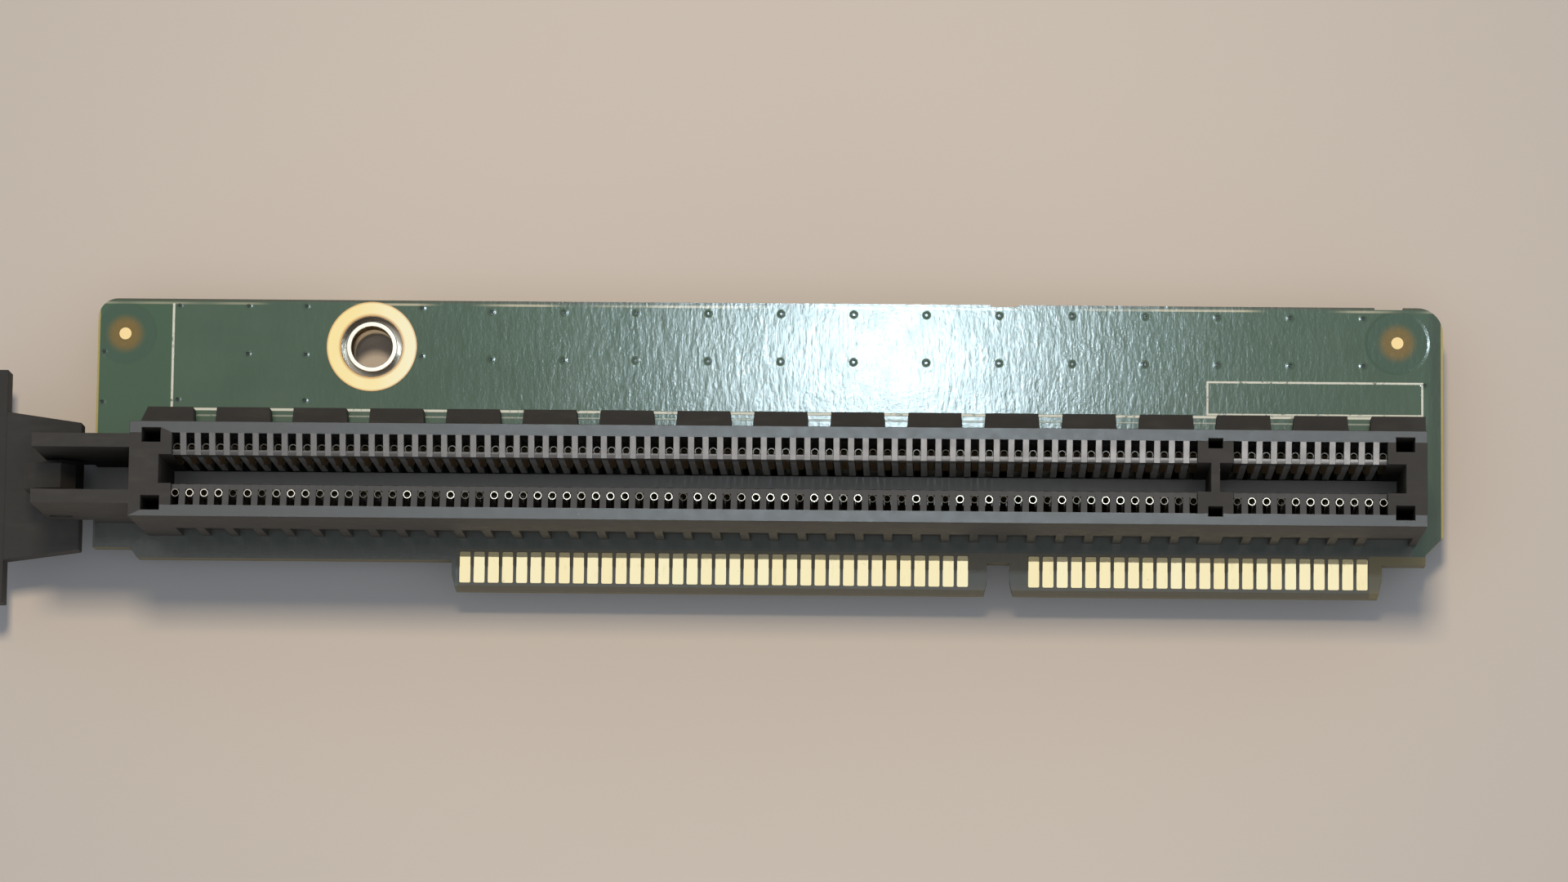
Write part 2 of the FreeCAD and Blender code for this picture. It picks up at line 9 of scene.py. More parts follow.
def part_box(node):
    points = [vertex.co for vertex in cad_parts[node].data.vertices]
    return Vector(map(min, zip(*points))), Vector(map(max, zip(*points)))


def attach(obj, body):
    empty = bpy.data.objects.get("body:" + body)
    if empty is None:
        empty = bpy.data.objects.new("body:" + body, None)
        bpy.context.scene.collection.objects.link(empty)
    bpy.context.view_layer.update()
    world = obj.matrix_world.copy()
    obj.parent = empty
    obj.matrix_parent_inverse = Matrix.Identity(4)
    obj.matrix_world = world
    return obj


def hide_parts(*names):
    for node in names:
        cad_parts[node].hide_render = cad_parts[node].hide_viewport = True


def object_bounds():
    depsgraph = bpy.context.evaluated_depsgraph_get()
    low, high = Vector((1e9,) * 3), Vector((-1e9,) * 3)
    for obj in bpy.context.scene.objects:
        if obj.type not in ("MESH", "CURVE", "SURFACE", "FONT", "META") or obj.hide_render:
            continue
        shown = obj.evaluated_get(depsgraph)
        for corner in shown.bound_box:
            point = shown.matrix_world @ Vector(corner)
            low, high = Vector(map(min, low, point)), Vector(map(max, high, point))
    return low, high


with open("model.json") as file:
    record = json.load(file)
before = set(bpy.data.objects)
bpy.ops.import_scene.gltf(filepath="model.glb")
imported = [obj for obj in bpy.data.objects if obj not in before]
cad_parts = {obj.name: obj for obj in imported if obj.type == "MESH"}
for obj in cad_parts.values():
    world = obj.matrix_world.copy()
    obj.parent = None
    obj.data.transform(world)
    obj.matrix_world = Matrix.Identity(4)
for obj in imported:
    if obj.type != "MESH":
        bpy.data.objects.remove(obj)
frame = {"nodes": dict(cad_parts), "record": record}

MM = 0.001
cad_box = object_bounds()

# ---- places read from the frame --------------------------------------------------------------

mounts = {mount["name"]: mount for mount in frame["record"]["mounts"]}
board_low, board_high = (Vector(corner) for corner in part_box("circuit_board"))
standoff_low, standoff_high = (Vector(corner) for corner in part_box("mounting_standoff"))
pad_low, pad_high = (Vector(corner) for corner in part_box("mount_pad_top"))

BOARD_TOP = board_high.z
BOARD_UNDER = board_low.z
FLOOR = cad_box[0][2]
SLOT_X, SLOT_Y, HOUSING_TOP = mounts["card_slot"]["pos_m"]
FIXING_X, FIXING_Y, _ = mounts["standoff_thread"]["pos_m"]
BORE_RADIUS = mounts["standoff_thread"]["dims"]["r_mm"] * MM

PITCH = 1.0 * MM
CONTACTS_RIGHT = 11
CONTACTS_LEFT = 71
CONTACT_KEY_DISTANCE = 1.5 * MM
CELL_HALF = 0.275 * MM
CELL_BACK = 2.5 * MM
SLOT_HALF = 1.0 * MM
TIP_OFFSET = 1.62 * MM
TAIL_OFFSETS = (2.3 * MM, 1.25 * MM)
LEAD_IN_DROP = 0.45 * MM
FIXING_HOLE_RADIUS = 2.2 * MM
PAD_RADIUS = 3.2 * MM


def contact_places():
    """X of each contact of one row, from the key outwards: the short run, then the long one."""
    right = [SLOT_X + CONTACT_KEY_DISTANCE + PITCH * i for i in range(CONTACTS_RIGHT)]
    left = [SLOT_X - CONTACT_KEY_DISTANCE - PITCH * i for i in range(CONTACTS_LEFT)]
    return right, left


# ---- shader maths ----------------------------------------------------------------------------

class Value:
    """A number socket of a material, which can be used in Python expressions."""

    def __init__(self, shader, socket):
        self.shader = shader
        self.socket = socket

    def math(self, operation, *others):
        inputs = dict(enumerate((self,) + others))
        return self.shader.node("Math", inputs, operation=operation)

    def __add__(self, other):
        return self.math("ADD", other)

    def __sub__(self, other):
        return self.math("SUBTRACT", other)

    def __mul__(self, other):
        return self.math("MULTIPLY", other)

    def __rsub__(self, other):
        return self.math("MULTIPLY_ADD", -1.0, other)

    __radd__ = __add__
    __rmul__ = __mul__

    def abs(self):
        return self.math("ABSOLUTE")

    def least(self, other):
        return self.math("MINIMUM", other)

    def most(self, other):
        return self.math("MAXIMUM", other)

    def ramp(self, low, high):
        """0 at low and 1 at high, smooth between; low may be the larger."""
        if low > high:
            return 1.0 - self.ramp(high, low)
        inputs = {"Value": self, "From Min": low, "From Max": high}
        return self.shader.node("MapRange", inputs, output="Result",
                                interpolation_type="SMOOTHSTEP")

    def near(self, place, half, blur=0.04 * MM):
        """1 within half of the place, 0 beyond."""
        return (self - place).abs().ramp(half + blur, half)

    def to_nearest(self, start, step):
        """The distance to the nearest of start, start + step, start - step and so on."""
        return (self - start).math("PINGPONG", step / 2)


def length(first, second):
    return (first * first + second * second).math("SQRT")


class Shader:
    """A material on the principled shader."""

    def __init__(self, name):
        self.material = bpy.data.materials.new(name)
        self.material.use_nodes = True
        self.tree = self.material.node_tree
        self.surface = self.tree.nodes["Principled BSDF"]
        self.place = self.node("TexCoord", {}, output="Object")

    def node(self, kind, inputs, output=0, **settings):
        """Adds a node: settings first, then the values or links of its sockets."""
        node = self.tree.nodes.new("ShaderNode" + kind)
        for name, value in settings.items():
            setattr(node, name, value)
        for key, value in inputs.items():
            self.put(node.inputs[key], value)
        return Value(self, node.outputs[output])

    def put(self, socket, value):
        if isinstance(value, Value):
            self.tree.links.new(value.socket, socket)
        else:
            socket.default_value = value

    def set(self, **values):
        """Sockets of the surface by name, with _ for a space."""
        for name, value in values.items():
            self.put(self.surface.inputs[name.replace("_", " ")], value)

    def parts(self, vector):
        node = self.node("SeparateXYZ", {0: vector}).socket.node
        return [Value(self, output) for output in node.outputs]

    def axes(self):
        return self.parts(self.place)

    def upward(self):
        """How far the surface faces up: 1 on a top, 0 on a wall, -1 underneath."""
        return self.parts(self.node("NewGeometry", {}, output="Normal"))[2]

    def noise(self, size, detail=2.0, roughness=0.5, stretch=(1, 1, 1)):
        place = self.node("Mapping", {"Vector": self.place, "Scale": stretch})
        inputs = {"Vector": place, "Scale": 1 / size, "Detail": detail, "Roughness": roughness}
        return self.node("TexNoise", inputs, output="Fac")

    def specks(self, spacing, size, amount):
        """Small round spots, scattered, on a share of the surface."""
        place = {"Vector": self.place, "Scale": 1 / spacing}
        away = self.node("TexVoronoi", place, output="Distance")
        return away.ramp(size, size * 0.4) * self.noise(spacing * 3).ramp(1 - amount, 1.05 - amount)

    def step(self, along, width):
        """A random number for each width of the distance along."""
        index = (along * (1 / width)).math("FLOOR")
        return self.node("TexWhiteNoise", {"W": index}, output="Value", noise_dimensions="1D")

    def mix(self, factor, first, second):
        """A colour between two colours, which are tuples or links."""
        colours = [value + (1.0,) if isinstance(value, tuple) else value
                   for value in (first, second)]
        inputs = {0: factor, 6: colours[0], 7: colours[1]}
        return self.node("Mix", inputs, output=2, data_type="RGBA")

    def relief(self, height):
        """Bump from a height in millimetres."""
        self.set(Normal=self.node("Bump", {"Height": height, "Distance": MM}, output="Normal"))


# ---- meshes ----------------------------------------------------------------------------------

def add_piece(name, mesh, *materials, body="card", slot=None, replaces=(), smooth=20):
    """An object of the bmesh, riding on its body; edges up to the smooth angle are shaded round."""
    data = bpy.data.meshes.new(name)
    mesh.to_mesh(data)
    mesh.free()
    piece = bpy.data.objects.new(name, data)
    bpy.context.scene.collection.objects.link(piece)
    for material in materials:
        data.materials.append(material)
    data.shade_smooth()
    data.set_sharp_from_angle(angle=math.radians(smooth))
    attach(piece, body)
    if replaces:
        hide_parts(*replaces)


def copy_of_node(name):
    """A bmesh of a CAD node with its loose triangles merged into flat faces."""
    mesh = bmesh.new()
    mesh.from_mesh(frame["nodes"][name].data)
    bmesh.ops.remove_doubles(mesh, verts=mesh.verts, dist=0.0005 * MM)
    bmesh.ops.dissolve_limit(mesh, angle_limit=math.radians(1), verts=mesh.verts, edges=mesh.edges)
    return mesh


def soften(mesh, width, edges=None, segments=2):
    """Rounds the given edges, or all that turn by more than 40 degrees."""
    if edges is None:
        turn = math.radians(40)
        edges = [edge for edge in mesh.edges if edge.is_manifold and edge.calc_face_angle() > turn]
    bmesh.ops.bevel(mesh, geom=edges, offset=width, offset_type="OFFSET", affect="EDGES",
                    segments=segments, profile=0.5, material=-1, clamp_overlap=True)


def face_outwards(mesh):
    bmesh.ops.remove_doubles(mesh, verts=mesh.verts, dist=0.0002 * MM)
    bmesh.ops.recalc_face_normals(mesh, faces=mesh.faces)


def turn(profile, steps, closed=True):
    """A shape turned about Z from points (radius, height)."""
    mesh = bmesh.new()
    points = [mesh.verts.new((radius, 0, height)) for radius, height in profile]
    ends = points[1:] + points[:1] if closed else points[1:]
    edges = [mesh.edges.new(pair) for pair in zip(points, ends)]
    bmesh.ops.spin(mesh, geom=points + edges, cent=(0, 0, 0), axis=(0, 0, 1), angle=math.tau,
                   steps=steps, use_merge=True, use_duplicate=False)
    face_outwards(mesh)
    return mesh


def copies(shape, places):
    """One mesh of the shape repeated at each place."""
    data = bpy.data.meshes.new("shape")
    shape.to_mesh(data)
    shape.free()
    mesh = bmesh.new()
    for place in places:
        first = len(mesh.verts)
        mesh.from_mesh(data)
        mesh.verts.ensure_lookup_table()
        bmesh.ops.translate(mesh, verts=mesh.verts[first:], vec=place)
    bpy.data.meshes.remove(data)
    return mesh


def add_bar(mesh, start, end, section):
    """A straight bar along X with a section of (y, z) points."""
    face = mesh.faces.new([mesh.verts.new((start, y, z)) for y, z in section])
    grown = bmesh.ops.extrude_face_region(mesh, geom=[face])["geom"]
    ends = [item for item in grown if isinstance(item, bmesh.types.BMVert)]
    bmesh.ops.translate(mesh, verts=ends, vec=(end - start, 0, 0))


# ---- the board's finish ----------------------------------------------------------------------

VIA_STEP = 5.13 * MM
VIA_START = 25.6 * MM
VIA_ROWS = (19.85 * MM, 16.45 * MM)
VIA_ROW_LEFT, VIA_ROW_RIGHT = -36.5 * MM, 27.5 * MM
# X and Y of the vias that stand outside the rows, in millimetres.
STRAY_VIAS = ((-58.1, 20.15), (-53.2, 20.15), (-49.1, 20.15), (-40.9, 20.1),
              (-53.2, 16.7), (-49.1, 16.7), (-40.9, 16.65), (-58.1, 13.4),
              (-49.1, 13.4), (-63.4, 16.8), (-63.45, 13.2), (29.9, 15.1))
FIDUCIALS = ("fiducial_left", "fiducial_right")

END_LINE_X = -58.5 * MM
END_LINE_FRONT, END_LINE_BACK = 12.8 * MM, 20.32 * MM
LONG_LINE_Y, FAINT_LINE_Y = 12.74 * MM, 12.30 * MM
LONG_LINE_LEFT, LONG_LINE_RIGHT = -58.8 * MM, 29.8 * MM
BOX_X, BOX_Y = 22.2 * MM, 14.08 * MM
BOX_HALF_WIDTH, BOX_HALF_DEPTH = 7.55 * MM, 1.15 * MM

# Where the board's colour changes: each pair is where a change starts and where it is complete.
LEFT_END_FADE = (-58.6 * MM, -58.5 * MM)
RIGHT_END_FADE = (29.9 * MM, 30.6 * MM)
FRONT_STRIP_FADE, FRONT_STRIP_END_FADE = (5.2 * MM, 4.6 * MM), (29.2 * MM, 28.9 * MM)
TONGUE_FADE, TONGUE_LEFT_FADE = (3.0 * MM, 2.9 * MM), (-38.2 * MM, -38.0 * MM)
TONGUE_RIGHT_FADE = (25.95 * MM, 26.05 * MM)


def fiducial_distance(shader, x, y):
    """Distance to the middle of the nearer fiducial."""
    away = None
    for node in FIDUCIALS:
        middle = sum((Vector(corner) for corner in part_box(node)), Vector()) / 2
        distance = length(x - middle.x, y - middle.y)
        away = distance if away is None else away.least(distance)
    return away


def via_distance(x, y):
    """Distance to the middle of the nearest via."""
    rise = (y - VIA_ROWS[0]).abs().least((y - VIA_ROWS[1]).abs())
    outside = (x.ramp(VIA_ROW_LEFT, VIA_ROW_LEFT - 1.0 * MM)
               + x.ramp(VIA_ROW_RIGHT, VIA_ROW_RIGHT + 1.0 * MM))
    away = length(x.to_nearest(VIA_START, VIA_STEP), rise) + outside * MM
    for place_x, place_y in STRAY_VIAS:
        away = away.least(length(x - place_x * MM, y - place_y * MM))
    return away


def stroke(across, middle, half, along, start, end, fade):
    """1 on a straight printed line, 0 beside it and past its ends."""
    return across.near(middle, half) * along.ramp(start, start + fade) * along.ramp(end, end - fade)


def printed_lines(x, y):
    """White legend: a line beside the slot's end, two along the slot and an empty box."""
    end_line = stroke(x, END_LINE_X, 0.06 * MM, y, END_LINE_FRONT, END_LINE_BACK, 0.06 * MM)
    long_line = stroke(y, LONG_LINE_Y, 0.07 * MM, x, LONG_LINE_LEFT, LONG_LINE_RIGHT, 0.1 * MM)
    faint_line = stroke(y, FAINT_LINE_Y, 0.04 * MM, x, LONG_LINE_LEFT, LONG_LINE_RIGHT, 0.1 * MM)
    box = ((x - BOX_X).abs() - BOX_HALF_WIDTH).most((y - BOX_Y).abs() - BOX_HALF_DEPTH)
    return end_line.most(long_line).most(faint_line * 0.35).most(box.near(0.0, 0.05 * MM))


def make_board_finish():
    """Green solder mask over copper; bare glass laminate on the edges and round the fiducials."""
    s = Shader("solder_mask")
    x, y, _ = s.axes()
    up = s.upward()
    face = up.abs().ramp(0.5, 0.8)
    top = up.ramp(0.5, 0.8)
    broad = s.noise(7 * MM, 3.0)
    weave = s.noise(0.32 * MM, 2.0, stretch=(1, 0.3, 1))
    grain = s.noise(0.22 * MM, 3.0, 0.6)
    via = via_distance(x, y)
    dot = via.ramp(0.16 * MM, 0.10 * MM)
    hill = via.ramp(0.34 * MM, 0.12 * MM)
    away = fiducial_distance(s, x, y)
    disc = away.ramp(2.32 * MM, 2.08 * MM) * top
    clearing = away.ramp(1.55 * MM, 0.75 * MM) * top

    green = s.mix(broad.ramp(0.35, 0.65), (0.040, 0.078, 0.050), (0.058, 0.098, 0.066))
    green = s.mix(weave * 0.4, green, (0.032, 0.068, 0.048))
    green = s.mix(x.ramp(*LEFT_END_FADE) * 0.6, (0.036, 0.082, 0.046), green)
    green = s.mix(disc * 0.55, green, (0.026, 0.064, 0.040))
    green = s.mix(clearing, green, s.mix(grain, (0.12, 0.080, 0.014), (0.17, 0.115, 0.026)))
    # Painted shade: a darker green ring on each via's raised mask, and a near-black dot for the
    # shade in its hole.
    green = s.mix(hill * 0.35, green, (0.020, 0.050, 0.038))
    green = s.mix(dot * 0.9, green, (0.004, 0.008, 0.007))

    green = s.mix(x.ramp(*RIGHT_END_FADE) * 0.8, green, (0.026, 0.048, 0.032))
    inset = (x - board_low.x).least(board_high.x - x)
    side_rim = inset.ramp(0.19 * MM, 0.10 * MM)
    green = s.mix(side_rim, green, s.mix(grain, (0.26, 0.21, 0.05), (0.36, 0.30, 0.09)))
    back = board_high.y - y
    # Along the back edge: the pale line in patches is a painted highlight on the mask's edge, and
    # the darker band at the very edge is painted shade.
    patches = s.noise(9 * MM, 1.0, stretch=(1, 0, 0)).ramp(0.42, 0.58)
    pale = back.near(0.30 * MM, 0.06 * MM) * patches
    green = s.mix(pale, green, (0.36, 0.34, 0.24))
    green = s.mix(back.ramp(0.20 * MM, 0.12 * MM) * 0.8, green, (0.055, 0.055, 0.035))

    # Grey-brown in place of the mask's green, as a stand-in for the haze and shade along the front.
    front = y.ramp(*FRONT_STRIP_FADE) * x.ramp(*FRONT_STRIP_END_FADE)
    green = s.mix(front, green, s.mix(weave, (0.090, 0.094, 0.076), (0.115, 0.118, 0.094)))
    # The tongue is bare laminate: its dull grey-brown is partly its own colour and partly painted
    # shade, and its lighter olive right end is painted light.
    tongue = y.ramp(*TONGUE_FADE) * x.ramp(*TONGUE_LEFT_FADE)
    bare = s.mix(weave, (0.080, 0.068, 0.044), (0.105, 0.088, 0.056))
    bare = s.mix(x.ramp(*TONGUE_RIGHT_FADE), bare, (0.16, 0.125, 0.050))
    green = s.mix(tongue, green, bare)
    ink = printed_lines(x, y) * top * s.noise(0.3 * MM).ramp(0.2, 0.45)
    green = s.mix(ink * 0.9, green, (0.60, 0.60, 0.52))

    layers = s.noise(0.5 * MM, 2.0, stretch=(0.3, 0.3, 4))
    laminate = s.mix(layers, (0.075, 0.062, 0.028), (0.17, 0.140, 0.068))
    colour = s.mix(face, laminate, green)
    dust = s.specks(1.7 * MM, 0.05, 0.40)
    s.set(Base_Color=s.mix(dust * 0.5, colour, (0.45, 0.45, 0.42)))

    gloss = s.noise(1.5 * MM, 2.0) * 0.05 + 0.125
    matt = (1.0 - face).most(tongue * 0.6).most(side_rim * 0.6).most(ink * 0.4)
    s.set(Roughness=gloss + matt * 0.4 + dust * 0.3)
    flow = s.noise(2.6 * MM, 2.0) * 0.005 + s.noise(0.6 * MM, 2.0) * 0.0022
    s.relief(flow + grain * 0.0030 + weave * 0.0060 * face + hill * 0.012 - dot * 0.04
             - disc * 0.016 + ink * 0.008)
    return s.material


# ---- the other finishes ----------------------------------------------------------------------

DEPTHS_START, DEPTHS_END = HOUSING_TOP - 0.7 * MM, HOUSING_TOP - 2.6 * MM


def make_plastic_finish(name, tint, gloss=0.0, painted_haze_colour=None):
    """Black glass-filled resin: matt, mottled and dusty, with an optional pale colour painted down
    in the slot.

    The real resin is black all the way down: the pale colour down in the slot is painted light, a
    stand-in for haze.
    """
    s = Shader(name)
    height = s.axes()[2]
    broad = s.noise(5 * MM, 3.0)
    fine = s.noise(0.07 * MM, 3.0, 0.65)
    streaks = s.noise(0.8 * MM, 3.0, stretch=(0.25, 1, 1))
    colour = s.mix(broad, tuple(part * 0.8 for part in tint), tuple(part * 1.25 for part in tint))
    colour = s.mix(streaks.ramp(0.5, 0.75) * 0.35, colour, tuple(part * 2.0 for part in tint))
    colour = s.mix(fine.ramp(0.62, 0.8) * 0.4, colour, tuple(part * 2.6 for part in tint))
    # Painted light: the resin turns pale down in the slot, standing in for haze.
    if painted_haze_colour:
        colour = s.mix(height.ramp(DEPTHS_START, DEPTHS_END), colour, painted_haze_colour)
    dust = s.specks(0.9 * MM, 0.07, 0.42)
    s.set(Base_Color=s.mix(dust * 0.35, colour, (0.30, 0.29, 0.27)))
    s.set(Roughness=s.noise(0.8 * MM, 2.0) * 0.12 + (0.66 - gloss), Specular_IOR_Level=0.40 + gloss)
    s.relief(fine * 0.003 + broad * 0.01 + s.noise(0.35 * MM, 2.0) * 0.003)
    return s.material


def make_gold_finish(name, tone, depth=0.30):
    """Bright plated gold, scuffed along Y, each millimetre of the row its own tone."""
    s = Shader(name)
    x = s.axes()[0]
    scuff = s.noise(0.35 * MM, 4.0, 0.65, stretch=(1, 0.25, 1))
    stain = s.noise(0.9 * MM, 3.0, 0.6)
    deep = tuple(part * shade for part, shade in zip(tone, (0.97, 0.86, 0.66)))
    colour = s.mix(s.step(x, PITCH) * 0.4, tone, deep)
    colour = s.mix(scuff.ramp(0.55, 0.80) * depth, colour, tuple(part * 0.72 for part in deep))
    colour = s.mix(stain.ramp(0.66, 0.80) * depth, colour, (0.42, 0.24, 0.08))
    s.set(Base_Color=colour, Metallic=1.0)
    s.set(Roughness=scuff.ramp(0.45, 0.85) * 0.03 + 0.020)
    s.relief(scuff * 0.0002 + s.noise(0.5 * MM) * 0.0003)
    return s.material


def make_pad_finish():
    """The gold ring round the fixing hole: smooth and patchy, painted lighter towards its right
    side as a painted highlight, tarnished orange at both rims.
    """
    s = Shader("pad_gold")
    x, y, _ = s.axes()
    away = length(x - FIXING_X, y - FIXING_Y)
    patches = s.noise(2.5 * MM, 2.0, stretch=(1, 0.5, 1))
    # Painted highlight: the gold is painted lighter towards the right, where the glare falls; the
    # patches are its own tone.
    patches_and_glare_side = patches * 0.6 + x.ramp(pad_low.x, pad_high.x) * 0.5
    colour = s.mix(patches_and_glare_side.ramp(0.25, 0.85), (1.0, 0.83, 0.40), (1.0, 0.94, 0.65))
    outer_rim = away.ramp(PAD_RADIUS - 0.16 * MM, PAD_RADIUS)
    inner_rim = away.ramp(FIXING_HOLE_RADIUS + 0.22 * MM, FIXING_HOLE_RADIUS)
    rim = outer_rim.most(inner_rim)
    colour = s.mix(rim * 0.75, colour, (0.62, 0.30, 0.10))
    s.set(Base_Color=colour, Metallic=1.0)
    s.set(Roughness=s.noise(0.4 * MM, 3.0) * 0.03 + 0.03)
    s.relief(s.noise(0.8 * MM) * 0.0006 - rim * 0.004)
    return s.material


def make_contact_finish():
    """Plated spring strip, painted darker down in its cell as shade."""
    s = Shader("contact_plate")
    z = s.axes()[2]
    scuff = s.noise(0.3 * MM, 3.0)
    # Painted shade: the strip darkens down in its cell.
    depth = z.ramp(HOUSING_TOP - 0.2 * MM, HOUSING_TOP - 1.5 * MM)
    bright = s.mix(scuff, (0.70, 0.56, 0.32), (0.86, 0.72, 0.46))
    s.set(Base_Color=s.mix(depth, bright, (0.22, 0.17, 0.11)), Metallic=1.0)
    s.set(Roughness=scuff * 0.15 + 0.28)
    s.relief(scuff * 0.001)
    return s.material


def make_tip_finish(name, bright):
    """The curled tips: some bright, some dull, from one contact to the next."""
    s = Shader(name)
    x = s.axes()[0]
    chance = s.step(x - SLOT_X, PITCH) + s.noise(0.4 * MM) * 0.25
    colour = s.mix(chance.ramp(0.25, 0.85), (0.08, 0.070, 0.055), bright)
    s.set(Base_Color=colour, Metallic=1.0)
    s.set(Roughness=0.48 - chance.ramp(0.10, 0.60) * 0.16)
    s.relief(s.noise(0.15 * MM) * 0.002)
    return s.material


def make_steel_finish():
    """Turned steel: fine rings about the bore, a little blotched, painted dark inside the board's
    hole as shade.
    """
    s = Shader("turned_steel")
    x, y, z = s.axes()
    away = length(x - FIXING_X, y - FIXING_Y)
    lathe = s.node("CombineXYZ", {0: away, 1: z})
    inputs = {"Vector": lathe, "Scale": 1 / (0.05 * MM), "Detail": 2.0}
    rings = s.node("TexNoise", inputs, output="Fac")
    blotch = s.noise(0.7 * MM, 3.0)
    colour = s.mix(blotch, (0.72, 0.67, 0.57), (0.88, 0.83, 0.72))
    colour = s.mix(rings.ramp(0.55, 0.75) * 0.3, colour, (0.55, 0.51, 0.43))
    # Painted shade: the steel is painted dark from the board's underside to just under its top,
    # where it sits in the hole and down the bore.
    below_top = z.ramp(standoff_high.z - 0.05 * MM, standoff_high.z - 0.20 * MM)
    above_foot = z.ramp(BOARD_UNDER - 0.12 * MM, BOARD_UNDER)
    hole_shade = below_top * above_foot
    s.set(Base_Color=s.mix(hole_shade, colour, (0.10, 0.080, 0.060)), Metallic=1.0)
    s.set(Roughness=rings * 0.08 + 0.14)
    s.relief(rings * 0.0003 + blotch * 0.0006)
    return s.material


def make_barrel_finish():
    """Plating on the hole's wall, drilled lines showing through, painted dark as the shade in the
    hole.
    """
    s = Shader("barrel_plate")
    lines = s.noise(0.25 * MM, 3.0, stretch=(1, 1, 0.3))
    # Painted shade: the plating's colour is kept dark for the shade down in the hole.
    s.set(Base_Color=s.mix(lines, (0.11, 0.075, 0.050), (0.24, 0.17, 0.11)), Metallic=1.0)
    s.set(Roughness=lines * 0.2 + 0.20)
    s.relief(lines * 0.0015)
    return s.material


def make_solder_finish():
    """Tin-silver solder: bright where it wetted, frosted in patches."""
    s = Shader("solder")
    frost = s.noise(0.5 * MM, 3.0, 0.6)
    s.set(Base_Color=s.mix(frost, (0.50, 0.49, 0.47), (0.80, 0.79, 0.76)), Metallic=1.0)
    s.set(Roughness=frost * 0.3 + 0.12)
    s.relief(frost * 0.008)
    return s.material


board_finish = make_board_finish()
housing_finish = make_plastic_finish("slot_resin", (0.0225, 0.0202, 0.0170))
# The mouth's resin is painted pale deep in the slot: painted light, standing in for haze.
mouth_finish = make_plastic_finish("slot_mouth_resin", (0.021, 0.0200, 0.0190), gloss=0.40,
                                   painted_haze_colour=(0.34, 0.33, 0.31))
latch_finish = make_plastic_finish("latch_resin", (0.0170, 0.0155, 0.0135))
finger_finish = make_gold_finish("finger_gold", (1.0, 0.93, 0.62))
fiducial_finish = make_gold_finish("fiducial_gold", (1.0, 0.78, 0.40), depth=0.15)
pad_finish = make_pad_finish()
contact_finish = make_contact_finish()
# The back row's tips get a dark copy of the tip finish: painted shade, as they sit deep in their
# cells.
tip_finishes = {"front": make_tip_finish("front_tip", (0.66, 0.60, 0.50)),
                "back": make_tip_finish("back_tip", (0.12, 0.110, 0.095))}
steel_finish = make_steel_finish()
barrel_finish = make_barrel_finish()
solder_finish = make_solder_finish()


def paint(start, material):
    """Puts a finish on every CAD node whose name starts so."""
    for name, node in frame["nodes"].items():
        if name.startswith(start):
            for slot in node.material_slots:
                slot.material = material


paint("circuit_board", board_finish)
paint("edge_fingers", finger_finish)
paint("mount_pad", pad_finish)
paint("fiducial", fiducial_finish)
paint("contacts", contact_finish)
paint("solder_joints", solder_finish)


# ---- pieces ----------------------------------------------------------------------------------

def make_housing():
    """The slot's moulding with rounded edges, its ribs sloping down into the slot's mouth."""
    mesh = copy_of_node("slot_housing")
    for side in (-1, 1):
        top = [face for face in mesh.faces
               if face.normal.z > 0.99 and face.calc_center_median().z > HOUSING_TOP - 0.01 * MM]
        around = list({edge for face in top for edge in face.edges})
        bmesh.ops.bisect_plane(mesh, geom=top + around, dist=0.001 * MM, plane_no=(0, 1, 0),
                               plane_co=(0, SLOT_Y + CELL_BACK * side, 0))
    mouths = [(min(run) - CELL_HALF, max(run) + CELL_HALF) for run in contact_places()]
    lips = [point for point in mesh.verts if point.co.z > HOUSING_TOP - 0.01 * MM
            and abs(abs(point.co.y - SLOT_Y) - SLOT_HALF) < 0.01 * MM
            and any(start + 0.01 * MM < point.co.x < end - 0.01 * MM for start, end in mouths)]
    bmesh.ops.translate(mesh, verts=lips, vec=(0, 0, -LEAD_IN_DROP))
    soften(mesh, 0.06 * MM)
    for point in mesh.verts:
        point.co.z = min(point.co.z, HOUSING_TOP)
    for face in mesh.faces:
        middle = face.calc_center_median()
        inside = abs(middle.y - SLOT_Y) < CELL_BACK + 0.12 * MM and middle.z > BOARD_TOP + 0.2 * MM
        face.material_index = int(inside and any(start < middle.x < end for start, end in mouths))
    add_piece("slot_moulding", mesh, housing_finish, mouth_finish, slot="housing_plastic", smooth=3,
              replaces=["slot_housing"])


def make_ledges():
    """A thin rail along each side of the slot, across the mouths of the cells."""
    mouth = HOUSING_TOP - LEAD_IN_DROP
    rise = LEAD_IN_DROP * 0.2
    reach, depth, gap = 0.38 * MM, 0.75 * MM, 0.01 * MM
    for row, side in (("front", -1), ("back", 1)):
        mesh = bmesh.new()
        for run in contact_places():
            inner = SLOT_Y + (SLOT_HALF + gap) * side
            outer = SLOT_Y + (SLOT_HALF + reach) * side
            section = [(inner, mouth - depth), (inner, mouth - gap),
                       (outer, mouth + rise), (outer, mouth - depth)]
            add_bar(mesh, min(run) - CELL_HALF, max(run) + CELL_HALF, section)
        face_outwards(mesh)
        soften(mesh, 0.04 * MM)
        add_piece(f"slot_rail_{row}", mesh, mouth_finish, slot="housing_plastic")


